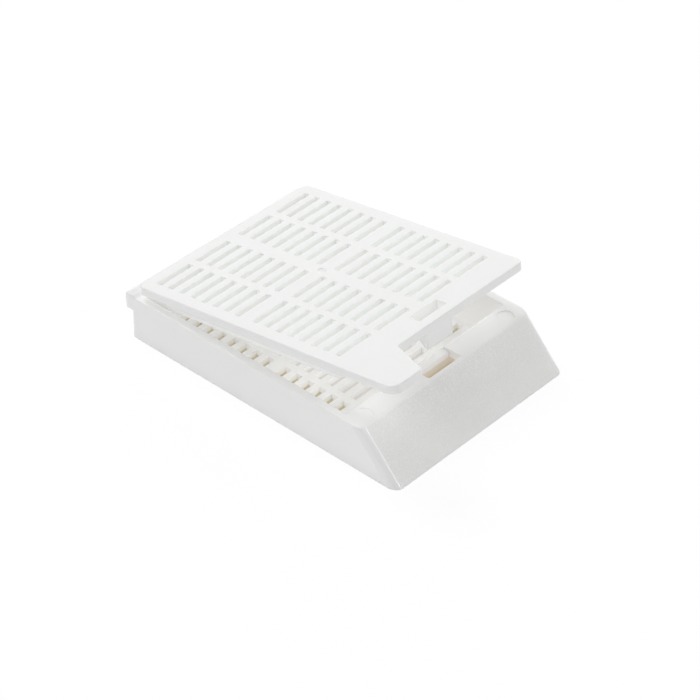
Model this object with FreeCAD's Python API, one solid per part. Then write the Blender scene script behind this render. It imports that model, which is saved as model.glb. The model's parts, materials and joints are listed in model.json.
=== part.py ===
import FreeCAD, Part
import math
import os

# Tissue cassette: a shallow slotted tray with a slanted writing face, and a slotted lid hinged on
# the tray's rear bar.  Millimetres.  +X runs towards the writing face, +Y towards the far long
# side, +Z up.  The origin is the middle of the bounding box, on the surface the tray stands on.

# ---- tray: driving sizes -------------------------------------------------------------------
TRAY_WIDTH = 28.7              # over the two long sides
TRAY_LENGTH = 41.0             # rear bar to the toe of the writing face
RIM_HEIGHT = 5.69              # top of the rims and of the front ledge
FLOOR_THICKNESS = 0.65
SIDE_WALL = 1.075              # at the rim
SIDE_WALL_DRAFT = 0.325        # how much thicker the side wall is at the floor
REAR_WALL = 1.18
FRONT_WALL = 0.80              # between the chamber and the hollow behind the writing face
FACE_ANGLE = 46.3              # writing face, from the horizontal
FACE_WALL = 1.0                # thickness of the writing face
LEDGE_WIDTH = 3.0              # flat between the chamber and the writing face
LEDGE_THICKNESS = 1.0
FACE_TOP_FILLET = 0.25         # ledge to writing face
CHAMBER_FILLET = 0.35          # floor to wall
FRONT_CORNER_RADIUS = 0.90     # writing face to long side
REAR_CORNER_RADIUS = 0.30
RIM_CHAMFER = 0.17             # outer edge of the long rims

# ---- tray: rear bar with the two hinge notches ----------------------------------------------
BAR_OVERHANG = 1.08            # how far the bar stands out behind the rear wall
BAR_HEIGHT = 2.16
BAR_RISE = 0.12                # the bar's top above the rims
BAR_WIDTH = 1.48               # along X, over the raised top
BAR_TAPER = 0.18               # the bar's outer face leans in this much towards its foot
BAR_TOP_FILLET = 0.30
BAR_FOOT_FILLET = 0.25

# ---- tray: floor slots ----------------------------------------------------------------------
COLUMNS_PER_HALF = 8
MIDDLE_BAR_EXTRA = 0.884       # added to the pitch between the two halves
FIRST_COLUMN_MARGIN = 1.332    # chamber rear wall to the middle of the first column
LAST_COLUMN_MARGIN = 1.719     # chamber front wall to the middle of the last column
FLOOR_SLOT_WIDTH = 0.91
FLOOR_SPINE = 1.83             # solid band along the middle of the floor
FLOOR_ROW_BAR = 1.00           # between an inner and an outer row
FLOOR_SIDE_MARGIN = 0.635      # end of an outer slot to the side wall

# ---- tray: catch for the lid's latch, and ejector marks on the ledge ------------------------
CATCH_FRONT_MARGIN = 0.385     # catch slot to the top edge of the writing face
CATCH_SLOT_WIDTH = 1.72
CATCH_SLOT_LENGTH = 5.45
CATCH_SHIFT = 0.095            # the catch sits this much to the far side of the middle
CATCH_NEAR_RADIUS = 0.35
CATCH_RELIEF = 0.30            # the ledge is this much lower behind the catch slot
EJECTOR_RADIUS = 0.95
EJECTOR_DEPTH = 0.10
EJECTOR_SIDE_MARGIN = 2.46     # middle of the mark to the long side
EJECTOR_FACE_MARGIN = 1.465    # middle of the mark to the top edge of the writing face

# ---- hinge ----------------------------------------------------------------------------------
HINGE_BEHIND_WALL = 0.15       # axis, behind the rear wall's outer face
HINGE_BELOW_RIM = 0.89
AJAR_ANGLE = 9.2               # how far the lid stands open
ARM_INSET = 6.25               # middle of each hinge arm to the tray's long side
ARM_WIDTH = 3.0
ARM_SIDE_CLEARANCE = 0.20
ARM_NOSE_RADIUS = 0.38
ARM_ABOVE_AXIS = 0.15
ARM_NOSE_CLEARANCE = 0.12      # round the nose, to the notch's rear wall and floor
ARM_WALL_CLEARANCE = 0.323     # upright part of the arm to the chamber's rear wall
ARM_THICKNESS = 0.70           # along X, where the arm hangs from the plate
PIN_RADIUS = 0.25
PIN_CLEARANCE = 0.08
PIN_REACH = 0.45               # how far a pin goes into its socket
PIN_END_CLEARANCE = 0.20

# ---- lid: driving sizes, as it lies closed --------------------------------------------------
LID_SIDE_INSET = 0.43          # lid edge to the tray's long side
LID_SHIFT = -0.13              # the lid sits this much towards the near side, within its play
LID_THICKNESS = 1.09
LID_SEAT_GAP = 0.36            # closed lid above the rims
LID_COLUMN_SHIFT = 0.413       # the lid's slots lie this much nearer the front than the floor's
LID_REAR_OVERLAP = 0.077       # rear edge behind the chamber's rear wall face
LID_FRONT_MARGIN = 0.112       # set-back front edge to the top edge of the writing face
LID_CORNER_RADIUS = 0.80
LID_EDGE_FILLET = 0.12
LID_SLOT_WIDTH = 0.643
LID_SPINE = 1.93               # solid band along the middle of the lid
LID_ROW_BAR = 1.10
LID_SIDE_MARGIN = 1.655        # end of an outer slot to the lid's side edge
TAB_REACH = 5.21               # thumb tab beyond the set-back edge
TAB_ROOT_WIDTH = 6.62
TAB_TIP_WIDTH = 4.57
TAB_OUTER_RADIUS = 1.30
TAB_INNER_RADIUS = 0.60
TAB_ROOT_RADIUS = 0.25

# ---- lid: locating rim, window, gate mark and latch ----------------------------------------
SKIRT_DEPTH = 1.40             # locating rim under the lid
SKIRT_WALL = 0.60
SKIRT_SIDE_CLEARANCE = 0.325   # to the chamber's side walls at the rim
SKIRT_REAR_CLEARANCE = 0.423
SKIRT_FRONT_CLEARANCE = 0.082
SKIRT_CORNER_RADIUS = 1.50
WINDOW_LENGTH = 1.43           # along X, above the hook
WINDOW_SIDE_MARGIN = 0.15      # window beyond each side of the latch
LATCH_FRONT_CLEARANCE = 0.297  # latch face to the front of the catch slot
LATCH_REAR_CLEARANCE = 0.123   # hook to the rear of the catch slot
LATCH_NEAR_CLEARANCE = 0.40
LATCH_FAR_CLEARANCE = 0.90
LATCH_STEM = 0.753
LATCH_DEPTH = 2.46             # below the lid's underside
LATCH_TIP_BEVEL = 0.20
HOOK_TOP = 1.26                # below the lid's underside
HOOK_BLUNT = 0.35              # upright end of the hook
GATE_RADIUS = 0.50
GATE_DEPTH = 0.08

# ---- places that follow from the sizes ------------------------------------------------------
REACH = 1.0                    # how far cutting tools run past the faces they cut
EDGE_TOLERANCE = 0.01          # how near to a place an edge has to lie to be picked
WELD = 0.2                     # how far features of one moulding run into it before they are fused
HALF_WIDTH = TRAY_WIDTH / 2
X_BAR = -TRAY_LENGTH / 2
X_REAR = X_BAR + BAR_OVERHANG
X_TOE = TRAY_LENGTH / 2
FACE_RUN = RIM_HEIGHT / math.tan(math.radians(FACE_ANGLE))
X_FACE_TOP = X_TOE - FACE_RUN
X_CHAMBER_FRONT = X_FACE_TOP - LEDGE_WIDTH
X_CHAMBER_REAR = X_REAR + REAR_WALL
BAR_TOP = RIM_HEIGHT + BAR_RISE
BAR_FOOT = BAR_TOP - BAR_HEIGHT
X_HINGE = X_REAR - HINGE_BEHIND_WALL
Z_HINGE = RIM_HEIGHT - HINGE_BELOW_RIM
Z_UNDERSIDE = RIM_HEIGHT + LID_SEAT_GAP
Z_LID_TOP = Z_UNDERSIDE + LID_THICKNESS
LID_HALF_WIDTH = HALF_WIDTH - LID_SIDE_INSET
X_CATCH_FRONT = X_FACE_TOP - CATCH_FRONT_MARGIN
X_CATCH_REAR = X_CATCH_FRONT - CATCH_SLOT_WIDTH
Y_CATCH_NEAR = CATCH_SHIFT - CATCH_SLOT_LENGTH / 2
Y_CATCH_FAR = CATCH_SHIFT + CATCH_SLOT_LENGTH / 2
X_LATCH_FACE = X_CATCH_FRONT - LATCH_FRONT_CLEARANCE
X_LATCH_STEM = X_LATCH_FACE - LATCH_STEM
Y_LATCH_NEAR = Y_CATCH_NEAR + LATCH_NEAR_CLEARANCE
Y_LATCH_FAR = Y_CATCH_FAR - LATCH_FAR_CLEARANCE
X_LID_REAR = X_CHAMBER_REAR - LID_REAR_OVERLAP
X_LID_FRONT = X_FACE_TOP - LID_FRONT_MARGIN
X_TAB_TIP = X_LID_FRONT + TAB_REACH
ARM_MIDDLES = (ARM_INSET - HALF_WIDTH, HALF_WIDTH - ARM_INSET)


def prism_along_y(points, y_from, y_to):
    """A solid with the given XZ outline, from y_from to y_to."""
    corners = [FreeCAD.Vector(x, y_from, z) for x, z in points]
    outline = Part.makePolygon(corners + [corners[0]])
    return Part.Face(outline).extrude(FreeCAD.Vector(0, y_to - y_from, 0))


def block(x_from, x_to, y_from, y_to, z_from, z_to):
    corner = FreeCAD.Vector(x_from, y_from, z_from)
    return Part.makeBox(x_to - x_from, y_to - y_from, z_to - z_from, corner)


def round_bar(radius, x, z, y_from, y_to):
    """A cylinder along Y."""
    foot = FreeCAD.Vector(x, y_from, z)
    return Part.makeCylinder(radius, y_to - y_from, foot, FreeCAD.Vector(0, 1, 0))


def edges_near(shape, points):
    """The edges whose middle lies nearest to each of the given points."""
    chosen = []
    for point in points:
        target = FreeCAD.Vector(*point)
        chosen.append(min(shape.Edges, key=lambda edge: edge.CenterOfMass.distanceToPoint(target)))
    return chosen


def tray_columns():
    """X of the middle of each slot column in the tray's floor, rear to front."""
    first = X_CHAMBER_REAR + FIRST_COLUMN_MARGIN
    last = X_CHAMBER_FRONT - LAST_COLUMN_MARGIN
    pitch = (last - first - MIDDLE_BAR_EXTRA) / (2 * COLUMNS_PER_HALF - 1)
    rear_half = [first + index * pitch for index in range(COLUMNS_PER_HALF)]
    front_half = [last - index * pitch for index in reversed(range(COLUMNS_PER_HALF))]
    return rear_half + front_half


def lid_columns():
    """The same pattern in the closed lid, which lies a little further forward."""
    return [x + LID_COLUMN_SHIFT for x in tray_columns()]


def slot_rows(half_width, spine, row_bar, side_margin):
    """The two rows on one side of the middle, as (nearest, farthest) distances from it."""
    length = (half_width - side_margin - row_bar - spine / 2) / 2
    inner = (spine / 2, spine / 2 + length)
    return [inner, (inner[1] + row_bar, inner[1] + row_bar + length)]


def slot_tools(columns, rows, width, z_from, z_to):
    """One cutting block for each slot, mirrored to both sides of the middle."""
    tools = []
    for x in columns:
        for near, far in rows:
            tools.append(block(x - width / 2, x + width / 2, near, far, z_from, z_to))
            tools.append(block(x - width / 2, x + width / 2, -far, -near, z_from, z_to))
    return tools


# ---- tray -----------------------------------------------------------------------------------
def tray_shell():
    """The outside of the tray without its rear bar: a long-side profile run across its width."""
    profile = [(X_REAR, 0), (X_REAR, RIM_HEIGHT), (X_FACE_TOP, RIM_HEIGHT), (X_TOE, 0)]
    shell = prism_along_y(profile, -HALF_WIDTH, HALF_WIDTH)
    x_middle = (X_TOE + X_FACE_TOP) / 2
    slanted = [(x_middle, y, RIM_HEIGHT / 2) for y in (-HALF_WIDTH, HALF_WIDTH)]
    shell = shell.makeFillet(FRONT_CORNER_RADIUS, edges_near(shell, slanted))
    top_edges = [edge for edge in shell.Edges if edge.BoundBox.ZMin > RIM_HEIGHT - EDGE_TOLERANCE
                 and edge.BoundBox.XMax > X_FACE_TOP - EDGE_TOLERANCE]
    return shell.makeFillet(FACE_TOP_FILLET, top_edges)


def rear_bar():
    """The bar that stands out along the top of the rear wall, its outer edges rounded."""
    x_foot = X_BAR + BAR_TAPER
    x_inside = X_BAR + BAR_WIDTH
    profile = [(x_inside, BAR_FOOT), (x_foot, BAR_FOOT), (X_BAR, BAR_TOP), (x_inside, BAR_TOP)]
    bar = prism_along_y(profile, -HALF_WIDTH, HALF_WIDTH)
    z_middle = (BAR_FOOT + BAR_TOP) / 2
    upright = [((X_BAR + x_foot) / 2, y, z_middle) for y in (-HALF_WIDTH, HALF_WIDTH)]
    bar = bar.makeFillet(REAR_CORNER_RADIUS, edges_near(bar, upright))
    bar = bar.makeFillet(BAR_TOP_FILLET, edges_near(bar, [(X_BAR, 0, BAR_TOP)]))
    return bar.makeFillet(BAR_FOOT_FILLET, edges_near(bar, [(x_foot, 0, BAR_FOOT)]))


def rim_chamfer_tools():
    """Two wedges that take the outer top edge off the long rims."""
    inner = HALF_WIDTH - RIM_CHAMFER
    top = RIM_HEIGHT + REACH
    low = RIM_HEIGHT - RIM_CHAMFER - REACH
    wide = HALF_WIDTH + REACH
    tools = []
    for side in (-1, 1):
        section = [(side * (inner - REACH), top), (side * wide, top), (side * wide, low)]
        corners = [FreeCAD.Vector(X_BAR + BAR_WIDTH, y, z) for y, z in section]
        wedge = Part.Face(Part.makePolygon(corners + [corners[0]]))
        tools.append(wedge.extrude(FreeCAD.Vector(X_TOE - X_BAR - BAR_WIDTH, 0, 0)))
    return tools


def chamber_section(z):
    """The chamber's outline at height z; its side walls lean in towards the floor."""
    lean = SIDE_WALL_DRAFT * (RIM_HEIGHT - z) / (RIM_HEIGHT - FLOOR_THICKNESS)
    half = HALF_WIDTH - SIDE_WALL - lean
    ends = (X_CHAMBER_REAR, X_CHAMBER_FRONT)
    corners = [(ends[0], -half), (ends[1], -half), (ends[1], half), (ends[0], half)]
    wire = [FreeCAD.Vector(x, y, z) for x, y in corners]
    return Part.makePolygon(wire + [wire[0]])


def chamber_tool():
    sections = [chamber_section(FLOOR_THICKNESS), chamber_section(RIM_HEIGHT + REACH)]
    tool = Part.makeLoft(sections, True, True)
    floor_edges = [edge for edge in tool.Edges if edge.BoundBox.ZMax < FLOOR_THICKNESS + CHAMBER_FILLET]
    return tool.makeFillet(CHAMBER_FILLET, floor_edges)


def hollow_tool():
    """The hollow under the ledge and behind the writing face, open below."""
    slope = 1 / math.tan(math.radians(FACE_ANGLE))
    thickness_along_x = FACE_WALL / math.sin(math.radians(FACE_ANGLE))
    x_inner_foot = X_TOE - thickness_along_x
    z_ceiling = RIM_HEIGHT - LEDGE_THICKNESS
    x_wall = X_CHAMBER_FRONT + FRONT_WALL
    outline = [
        (x_wall, -REACH),
        (x_wall, z_ceiling),
        (x_inner_foot - z_ceiling * slope, z_ceiling),
        (x_inner_foot + REACH * slope, -REACH),
    ]
    inside = HALF_WIDTH - SIDE_WALL
    return prism_along_y(outline, -inside, inside)


def catch_tools():
    """The latch slot through the ledge, and the lowered strip behind it."""
    z_low = RIM_HEIGHT - LEDGE_THICKNESS - REACH
    z_high = RIM_HEIGHT + REACH
    slot = block(X_CATCH_REAR, X_CATCH_FRONT, Y_CATCH_NEAR, Y_CATCH_FAR, z_low, z_high)
    z_middle = (z_low + z_high) / 2
    near_corners = [(x, Y_CATCH_NEAR, z_middle) for x in (X_CATCH_REAR, X_CATCH_FRONT)]
    slot = slot.makeFillet(CATCH_NEAR_RADIUS, edges_near(slot, near_corners))
    x_relief_front = (X_CATCH_REAR + X_CATCH_FRONT) / 2
    relief = block(X_CHAMBER_FRONT - REACH, x_relief_front, Y_CATCH_NEAR, Y_CATCH_FAR,
                   RIM_HEIGHT - CATCH_RELIEF, z_high)
    return [slot, relief]


def ejector_tools():
    tools = []
    for side in (-1, 1):
        x = X_FACE_TOP - EJECTOR_FACE_MARGIN
        foot = FreeCAD.Vector(x, side * (HALF_WIDTH - EJECTOR_SIDE_MARGIN), RIM_HEIGHT - EJECTOR_DEPTH)
        tools.append(Part.makeCylinder(EJECTOR_RADIUS, REACH, foot))
    return tools


def hinge_notch_tools():
    """Open notches in the rear bar for the lid's arms, with a socket at each side for the pins."""
    half_notch = ARM_WIDTH / 2 + ARM_SIDE_CLEARANCE
    socket_reach = half_notch + PIN_REACH - ARM_SIDE_CLEARANCE + PIN_END_CLEARANCE
    nose = ARM_NOSE_RADIUS + ARM_NOSE_CLEARANCE
    tools = []
    for y in ARM_MIDDLES:
        tools.append(block(X_HINGE - nose, X_CHAMBER_REAR + REACH, y - half_notch, y + half_notch,
                           Z_HINGE - nose, BAR_TOP + REACH))
        tools.append(round_bar(PIN_RADIUS + PIN_CLEARANCE, X_HINGE, Z_HINGE,
                               y - socket_reach, y + socket_reach))
    return tools


def make_base():
    tools = rim_chamfer_tools() + [chamber_tool(), hollow_tool()]
    floor_half_width = HALF_WIDTH - SIDE_WALL - SIDE_WALL_DRAFT
    rows = slot_rows(floor_half_width, FLOOR_SPINE, FLOOR_ROW_BAR, FLOOR_SIDE_MARGIN)
    tools += slot_tools(tray_columns(), rows, FLOOR_SLOT_WIDTH, -REACH, FLOOR_THICKNESS + REACH)
    tools += catch_tools() + ejector_tools() + hinge_notch_tools()
    return tray_shell().fuse(rear_bar()).removeSplitter().cut(tools)


# ---- lid ------------------------------------------------------------------------------------
def lid_plate():
    """The flat plate with its thumb tab at the near front corner, edges rounded over."""
    near = -LID_HALF_WIDTH
    outline = [
        (X_LID_REAR, near, LID_CORNER_RADIUS),
        (X_TAB_TIP, near, TAB_OUTER_RADIUS),
        (X_TAB_TIP, near + TAB_TIP_WIDTH, TAB_INNER_RADIUS),
        (X_LID_FRONT, near + TAB_ROOT_WIDTH, TAB_ROOT_RADIUS),
        (X_LID_FRONT, LID_HALF_WIDTH, LID_CORNER_RADIUS),
        (X_LID_REAR, LID_HALF_WIDTH, LID_CORNER_RADIUS),
    ]
    corners = [FreeCAD.Vector(x, y, Z_UNDERSIDE) for x, y, radius in outline]
    plate = Part.Face(Part.makePolygon(corners + [corners[0]]))
    plate = plate.extrude(FreeCAD.Vector(0, 0, LID_THICKNESS))
    z_middle = Z_UNDERSIDE + LID_THICKNESS / 2
    for x, y, radius in outline:
        plate = plate.makeFillet(radius, edges_near(plate, [(x, y, z_middle)]))
    flat = [edge for edge in plate.Edges if edge.BoundBox.ZLength < LID_THICKNESS / 2]
    return plate.makeFillet(LID_EDGE_FILLET, flat)


def skirt():
    """The locating rim under the lid, which drops into the chamber."""
    x_rear = X_CHAMBER_REAR + SKIRT_REAR_CLEARANCE
    x_front = X_CHAMBER_FRONT - SKIRT_FRONT_CLEARANCE
    half = HALF_WIDTH - SIDE_WALL - SKIRT_SIDE_CLEARANCE
    z_low = Z_UNDERSIDE - SKIRT_DEPTH
    outer = block(x_rear, x_front, -half, half, z_low, Z_UNDERSIDE)
    upright = [edge for edge in outer.Edges if edge.BoundBox.ZLength > SKIRT_DEPTH / 2]
    outer = outer.makeFillet(SKIRT_CORNER_RADIUS, upright)
    inner = block(x_rear + SKIRT_WALL, x_front - SKIRT_WALL, SKIRT_WALL - half, half - SKIRT_WALL,
                  z_low - REACH, Z_UNDERSIDE + REACH)
    upright = [edge for edge in inner.Edges if edge.BoundBox.ZLength > SKIRT_DEPTH / 2]
    inner = inner.makeFillet(SKIRT_CORNER_RADIUS - SKIRT_WALL, upright)
    return outer.cut(inner)


def latch():
    """The hooked tongue that drops through the ledge's catch slot."""
    x_hook = X_CATCH_REAR + LATCH_REAR_CLEARANCE
    z_tip = Z_UNDERSIDE - LATCH_DEPTH
    z_hook = Z_UNDERSIDE - HOOK_TOP
    outline = [
        (X_LATCH_FACE, Z_UNDERSIDE + WELD),
        (X_LATCH_FACE, z_tip + LATCH_TIP_BEVEL),
        (X_LATCH_FACE - LATCH_TIP_BEVEL, z_tip),
        (x_hook, z_hook - HOOK_BLUNT),
        (x_hook, z_hook),
        (X_LATCH_STEM, z_hook),
        (X_LATCH_STEM, Z_UNDERSIDE + WELD),
    ]
    return prism_along_y(outline, Y_LATCH_NEAR, Y_LATCH_FAR)


def window_tool():
    """The window in the lid straight above the latch's hook."""
    return block(X_LATCH_STEM - WINDOW_LENGTH, X_LATCH_STEM,
                 Y_LATCH_NEAR - WINDOW_SIDE_MARGIN, Y_LATCH_FAR + WINDOW_SIDE_MARGIN,
                 Z_UNDERSIDE - REACH, Z_LID_TOP + REACH)


def gate_tool():
    columns = lid_columns()
    x_middle = (columns[COLUMNS_PER_HALF - 1] + columns[COLUMNS_PER_HALF]) / 2
    return Part.makeCylinder(GATE_RADIUS, REACH, FreeCAD.Vector(x_middle, 0, Z_LID_TOP - GATE_DEPTH))


def hinge_arms():
    """Two arms that hang from the lid's rear edge and reach back to the hinge axis, with pins."""
    x_heel = X_CHAMBER_REAR + ARM_WALL_CLEARANCE
    x_root = x_heel + ARM_THICKNESS
    half = ARM_WIDTH / 2
    z_low = Z_HINGE - ARM_NOSE_RADIUS
    pieces = []
    for y in ARM_MIDDLES:
        pieces.append(block(x_heel, x_root, y - half, y + half, z_low, Z_UNDERSIDE + WELD))
        pieces.append(block(X_HINGE, x_heel, y - half, y + half, z_low, Z_HINGE + ARM_ABOVE_AXIS))
        pieces.append(round_bar(ARM_NOSE_RADIUS, X_HINGE, Z_HINGE, y - half, y + half))
        pieces.append(round_bar(PIN_RADIUS, X_HINGE, Z_HINGE, y - half - PIN_REACH, y + half + PIN_REACH))
    return pieces


def make_lid():
    """The lid, built closed and then swung open about the hinge axis.

    The plate and its locating rim lie LID_SHIFT off the tray's middle; the latch and the arms stay
    in line with the catch slot and the notches.
    """
    plate = lid_plate().cut(gate_tool())
    rows = slot_rows(LID_HALF_WIDTH, LID_SPINE, LID_ROW_BAR, LID_SIDE_MARGIN)
    slots = slot_tools(lid_columns(), rows, LID_SLOT_WIDTH, Z_UNDERSIDE - REACH, Z_LID_TOP + REACH)
    plate = plate.cut(slots).fuse(skirt())
    plate.translate(FreeCAD.Vector(0, LID_SHIFT, 0))
    lid = plate.cut(window_tool()).fuse([latch()] + hinge_arms()).removeSplitter()
    axis_point = FreeCAD.Vector(X_HINGE, 0, Z_HINGE)
    lid.rotate(axis_point, FreeCAD.Vector(0, -1, 0), AJAR_ANGLE)
    return lid


def main():
    os.makedirs("parts", exist_ok=True)
    nodes = {"base": make_base(), "lid": make_lid()}
    for name, shape in nodes.items():
        solids = shape.Solids
        box = shape.BoundBox
        print(name, "solids", len(solids), "valid", shape.isValid(), "volume", round(shape.Volume, 2),
              "box", [round(v, 3) for v in (box.XMin, box.XMax, box.YMin, box.YMax, box.ZMin, box.ZMax)])
        solids[0].exportStep("parts/" + name + ".step")


main()
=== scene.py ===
import bpy
import bmesh
import json
import math
from mathutils import Matrix, Vector


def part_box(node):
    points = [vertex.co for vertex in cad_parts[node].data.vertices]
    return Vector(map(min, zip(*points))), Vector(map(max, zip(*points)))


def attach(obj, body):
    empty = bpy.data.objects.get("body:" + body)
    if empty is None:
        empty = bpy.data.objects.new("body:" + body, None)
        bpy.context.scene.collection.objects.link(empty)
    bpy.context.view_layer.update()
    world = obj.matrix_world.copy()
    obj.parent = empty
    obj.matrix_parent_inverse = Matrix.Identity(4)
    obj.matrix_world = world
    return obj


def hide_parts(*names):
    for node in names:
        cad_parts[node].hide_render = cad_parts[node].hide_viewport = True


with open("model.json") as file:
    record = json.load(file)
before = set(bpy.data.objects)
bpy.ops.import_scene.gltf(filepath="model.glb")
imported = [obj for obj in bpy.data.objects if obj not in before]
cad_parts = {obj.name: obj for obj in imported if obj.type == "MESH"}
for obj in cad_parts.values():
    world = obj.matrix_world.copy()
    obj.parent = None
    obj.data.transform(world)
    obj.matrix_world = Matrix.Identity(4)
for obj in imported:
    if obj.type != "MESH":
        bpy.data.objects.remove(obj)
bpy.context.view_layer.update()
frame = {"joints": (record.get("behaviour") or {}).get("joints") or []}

# ---- Tray moulding -------------------------------------------------------------------------------
# One injection moulding in white acetal: a shallow chamber, a flat ledge in front of it, a slanted
# writing face that is hollow behind, and a bar along the top of the rear wall for the hinge.  The
# mould leaves its rims rounded over.  Both mouldings are drawn in millimetres.
MM = 0.001
tray_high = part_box("base")[1] / MM
TRAY_LENGTH = 41.0
BAR_OVERHANG = 1.08
BAR_RISE = 0.12
FACE_ANGLE = math.radians(46.3)
HALF_WIDTH = tray_high.y
BAR_TOP = tray_high.z
TOE = tray_high.x
BAR_BACK = TOE - TRAY_LENGTH
REAR = BAR_BACK + BAR_OVERHANG
RIM = BAR_TOP - BAR_RISE
FACE_TOP = TOE - RIM / math.tan(FACE_ANGLE)
FOOT_ROUNDING = 0.05
FOOT_RISE = 0.16
RIM_ROUNDING = 0.12
REAR_CORNER = 0.3
SHARP = 0.01


def arc(radius, steps=4):
    """A quarter round as (how far it has turned in, how far it still has to go) pairs."""
    if not radius:
        return [(0.0, 0.0)]
    turns = [math.pi / 2 * step / steps for step in range(steps + 1)]
    return [(radius * (1 - math.cos(turn)), radius * (1 - math.sin(turn))) for turn in turns]


def outline(corners, inset=0.0, steps=5):
    """The rounded polygon through (x, y, radius) corners, with every side moved in by the inset."""
    points = []
    for index, (x, y, radius) in enumerate(corners):
        here = Vector((x, y))
        back = (here - Vector(corners[index - 1][:2])).normalized()
        ahead = (Vector(corners[(index + 1) % len(corners)][:2]) - here).normalized()
        left = Vector((-back.y, back.x))
        turn = math.atan2(back.x * ahead.y - back.y * ahead.x, back.dot(ahead))
        corner = here + (left + Vector((-ahead.y, ahead.x))) * inset / (1 + math.cos(turn))
        rounding = max(radius - inset if turn > 0 else radius + inset, SHARP)
        start = corner - back * rounding * math.tan(abs(turn) / 2)
        centre = start + left * math.copysign(rounding, turn)
        for step in range(steps + 1):
            points.append(centre + Matrix.Rotation(turn * step / steps, 2) @ (start - centre))
    return points


def stacked(name, rings):
    """A closed solid through rings of points laid one over the other."""
    count = len(rings[0])
    points = [point for ring in rings for point in ring]
    faces = [list(range(count)), list(range(len(points) - count, len(points)))]
    for start in range(0, len(points) - count, count):
        for index in range(count):
            after = (index + 1) % count
            faces.append([start + index, start + after, start + count + after, start + count + index])
    bm = bmesh.new()
    corners = [bm.verts.new(point) for point in points]
    for face in faces:
        bm.faces.new([corners[index] for index in face])
    bmesh.ops.recalc_face_normals(bm, faces=bm.faces)
    mesh = bpy.data.meshes.new(name)
    bm.to_mesh(mesh)
    bm.free()
    solid = bpy.data.objects.new(name, mesh)
    bpy.context.scene.collection.objects.link(solid)
    return solid


# Between each long side and the writing face runs a nearly flat band, tight against the side and
# rounder towards the face.  The face's own top edge is rounded over onto the ledge.
CORNER_BAND = 0.87
BAND_BULGE = 0.24
BAND_RADIUS = 0.85
BAND_SIDE_EDGE = 0.05
BAND_FACE_EDGE = 0.50
FACE_TOP_ROUNDING = 0.14


def shell_ring(height, inset):
    """The tray's outline at a height, rounded as seen square to the writing face."""
    squeeze = math.sin(FACE_ANGLE)
    front = TOE - height / math.tan(FACE_ANGLE) + (inset / squeeze if height > RIM / 2 else 0.0)
    crown = RIM - FACE_TOP_ROUNDING
    if height > RIM - FACE_TOP_ROUNDING * (1 - math.cos(FACE_ANGLE)):
        centre = TOE - crown / math.tan(FACE_ANGLE) - FACE_TOP_ROUNDING / squeeze
        rise = min(height - crown, FACE_TOP_ROUNDING)
        front = centre + math.sqrt(FACE_TOP_ROUNDING ** 2 - rise ** 2) + inset / squeeze
    near_band = [
        (front * squeeze - CORNER_BAND, -HALF_WIDTH, BAND_SIDE_EDGE),
        (front * squeeze - BAND_BULGE, BAND_BULGE - HALF_WIDTH, BAND_RADIUS),
        (front * squeeze, CORNER_BAND - HALF_WIDTH, BAND_FACE_EDGE)]
    far_band = [(x, -y, radius) for x, y, radius in reversed(near_band)]
    near_rear = (REAR * squeeze, -HALF_WIDTH, REAR_CORNER)
    far_rear = (REAR * squeeze, HALF_WIDTH, REAR_CORNER)
    corners = [near_rear] + near_band + far_band + [far_rear]
    return [(x / squeeze, y, height) for x, y in outline(corners, inset, 4)]


shell_rings = [shell_ring(rest * FOOT_RISE / FOOT_ROUNDING, inset)
               for inset, rest in reversed(arc(FOOT_ROUNDING))]
shell_rings += [shell_ring(RIM - rest, inset) for inset, rest in arc(RIM_ROUNDING, 6)]
tray = stacked("tray_moulding", shell_rings)

# The bar's outer face leans in towards its foot, and its top slopes down gently onto the rims.
BAR_HEIGHT = 2.16
BAR_TAPER = 0.18
BAR_CREST = 0.30
BAR_RUNOUT = 1.05
BAR_RUNOUT_DROP = 0.06
BAR_INTO_WALL = 0.4
BAR_TOP_ROUNDING = 0.30
BAR_FOOT_ROUNDING = 0.25
BAR_ROOT_ROUNDING = 0.05
BAR_ENDS = (0.22, 0.22)
BAR_FOOT = BAR_TOP - BAR_HEIGHT


def lying(points, height):
    return [(x, y, height) for x, y in points]


def standing(points, y):
    return [(x, y, z) for x, z in points]


def bar_of(name, corners, low, high, rounding=(0.0, 0.0), place=lying):
    """A bar with a rounded section whose two ends are rounded over."""
    rings = [place(outline(corners, inset), low + rest) for inset, rest in reversed(arc(rounding[0]))]
    rings += [place(outline(corners, inset), high - rest) for inset, rest in arc(rounding[1])]
    return stacked(name, rings)


def settled(solid):
    """Puts the solid's modifiers into its mesh."""
    depsgraph = bpy.context.evaluated_depsgraph_get()
    mesh = bpy.data.meshes.new_from_object(
        solid.evaluated_get(depsgraph), preserve_all_data_layers=True, depsgraph=depsgraph)
    solid.modifiers.clear()
    solid.data = mesh
    return solid


def joined(solid, others, operation):
    """Adds other solids to this one or cuts them out of it, and clears them away."""
    for other in others:
        step = solid.modifiers.new(other.name, "BOOLEAN")
        step.operation = operation
        step.solver = "EXACT"
        step.object = other
    settled(solid)
    for other in others:
        bpy.data.objects.remove(other)
    return solid


def welded(solid, *parts):
    return joined(solid, parts, "UNION")


def carved(solid, *cutters):
    return joined(solid, cutters, "DIFFERENCE")


bar_section = [
    (REAR + BAR_INTO_WALL, BAR_FOOT, BAR_ROOT_ROUNDING), (REAR + BAR_RUNOUT, RIM - BAR_RUNOUT_DROP, SHARP),
    (REAR + BAR_CREST, BAR_TOP, BAR_TOP_ROUNDING), (BAR_BACK, BAR_TOP, BAR_TOP_ROUNDING),
    (BAR_BACK + BAR_TAPER, BAR_FOOT, BAR_FOOT_ROUNDING)]
tray = welded(tray, bar_of("bar", bar_section, -HALF_WIDTH, HALF_WIDTH, BAR_ENDS, standing))

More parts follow.
